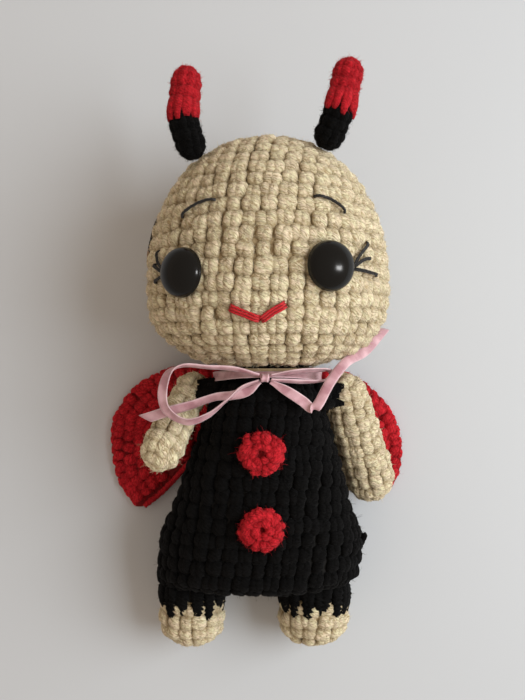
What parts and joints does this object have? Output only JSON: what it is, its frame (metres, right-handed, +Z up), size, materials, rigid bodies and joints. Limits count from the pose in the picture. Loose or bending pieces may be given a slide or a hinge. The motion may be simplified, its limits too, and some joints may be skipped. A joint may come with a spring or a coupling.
{
  "type": "crochet ladybug doll",
  "caption": "Stuffed crochet doll lying on its back: bun-shaped head with antennae and domed eyes, A-line body with short legs, sewn-on arms, leaf-shaped wings and a ribbon bow.",
  "frame": {"origin": "centre of the doll's footprint, on the surface that it lies on, face up", "axes": "+Z up, out of the doll's front; +Y along the doll from its feet to the top of its head; +X to the right as the face is seen"},
  "size_m": [0.0862, 0.1568, 0.0634],
  "materials": {
    "cream_yarn": "matte crocheted yarn",
    "black_yarn": "matte crocheted yarn",
    "red_yarn": "matte crocheted yarn",
    "fibre": "loose fibre filling",
    "eye_plastic": "polished",
    "washer_plastic": "plain moulded",
    "satin_ribbon": "satin weave",
    "black_thread": "embroidery thread",
    "red_thread": "embroidery thread"
  },
  "bodies": {
    "torso": {"body_cover": "black_yarn", "body_stuffing": "fibre", "foot_cover_left": "cream_yarn", "foot_cover_right": "cream_yarn", "button_upper": "red_yarn", "button_lower": "red_yarn", "neck_band": "satin_ribbon", "bow_knot": "satin_ribbon", "bow_loop_left": "satin_ribbon", "bow_loop_right": "satin_ribbon", "bow_tail_left": "satin_ribbon", "bow_tail_right": "satin_ribbon", "yarn_knot": "black_yarn"},
    "neck": {"neck_seam": "cream_yarn"},
    "head": {"head_cover": "cream_yarn", "head_stuffing": "fibre", "eye_left": "eye_plastic", "eye_washer_left": "washer_plastic", "brow_left": "black_thread", "mouth_left": "red_thread", "eye_right": "eye_plastic", "eye_washer_right": "washer_plastic", "brow_right": "black_thread", "mouth_right": "red_thread", "lash_left_1": "black_thread", "lash_left_2": "black_thread", "lash_left_3": "black_thread", "lash_right_1": "black_thread", "lash_right_2": "black_thread", "lash_right_3": "black_thread"},
    "shoulder_left": {"arm_seam_left": "cream_yarn"},
    "shoulder_right": {"arm_seam_right": "cream_yarn"},
    "arm_left": {"arm_cover_left": "cream_yarn", "arm_stuffing_left": "fibre"},
    "arm_right": {"arm_cover_right": "cream_yarn", "arm_stuffing_right": "fibre"},
    "wing_left": {"wing_left": "red_yarn"},
    "wing_right": {"wing_right": "red_yarn"},
    "antenna_left": {"antenna_stem_left": "black_yarn", "antenna_tip_left": "red_yarn", "antenna_stuffing_left": "fibre"},
    "antenna_right": {"antenna_stem_right": "black_yarn", "antenna_tip_right": "red_yarn", "antenna_stuffing_right": "fibre"}
  },
  "joints": [
    {"name": "head_nod", "type": "hinge", "parent": "torso", "child": "neck", "pos_m": [0.00317, -0.00192, 0.0305], "axis": [1, 0, 0], "range_deg": [-10, 3], "stiffness_Nm_per_rad": 0.1},
    {"name": "head_turn", "type": "hinge", "parent": "neck", "child": "head", "pos_m": [0.00317, -0.00192, 0.0305], "axis": [0, 1, 0], "range_deg": [-20, 20], "stiffness_Nm_per_rad": 0.1, "deforming": ["bow_tail_right"]},
    {"name": "arm_left_raise", "type": "hinge", "parent": "torso", "child": "shoulder_left", "pos_m": [-0.01737, -0.00517, 0.02631], "axis": [-0.9538, 0.2449, -0.174], "range_deg": [-20, 70], "stiffness_Nm_per_rad": 0.004, "deforming": ["bow_loop_left", "bow_tail_left"]},
    {"name": "arm_left_spread", "type": "hinge", "parent": "shoulder_left", "child": "arm_left", "pos_m": [-0.01737, -0.00517, 0.02631], "axis": [0.004, -0.568, -0.823], "range_deg": [0, 40], "stiffness_Nm_per_rad": 0.004},
    {"name": "arm_right_raise", "type": "hinge", "parent": "torso", "child": "shoulder_right", "pos_m": [0.02394, -0.00621, 0.02505], "axis": [-0.9193, -0.3341, 0.2081], "range_deg": [0, 100], "stiffness_Nm_per_rad": 0.004},
    {"name": "arm_right_spread", "type": "hinge", "parent": "shoulder_right", "child": "arm_right", "pos_m": [0.02394, -0.00621, 0.02505], "axis": [0.3271, -0.3561, 0.8753], "range_deg": [0, 40], "stiffness_Nm_per_rad": 0.004},
    {"name": "wing_left_lift", "type": "hinge", "parent": "torso", "child": "wing_left", "pos_m": [-0.00399, -0.00602, 0.01615], "axis": [-0.038, -0.9259, -0.3759], "range_deg": [0, 40], "stiffness_Nm_per_rad": 0.004},
    {"name": "wing_right_lift", "type": "hinge", "parent": "torso", "child": "wing_right", "pos_m": [0.01001, -0.00602, 0.01615], "axis": [0.038, 0.9259, 0.3759], "range_deg": [0, 40], "stiffness_Nm_per_rad": 0.004},
    {"name": "antenna_left_bend", "type": "hinge", "parent": "head", "child": "antenna_left", "pos_m": [-0.0162, 0.05711, 0.04235], "axis": [0, 0, 1], "range_deg": [-15, 15], "stiffness_Nm_per_rad": 0.001},
    {"name": "antenna_right_bend", "type": "hinge", "parent": "head", "child": "antenna_right", "pos_m": [0.01855, 0.05941, 0.04313], "axis": [0, 0, 1], "range_deg": [-15, 15], "stiffness_Nm_per_rad": 0.001}
  ]
}
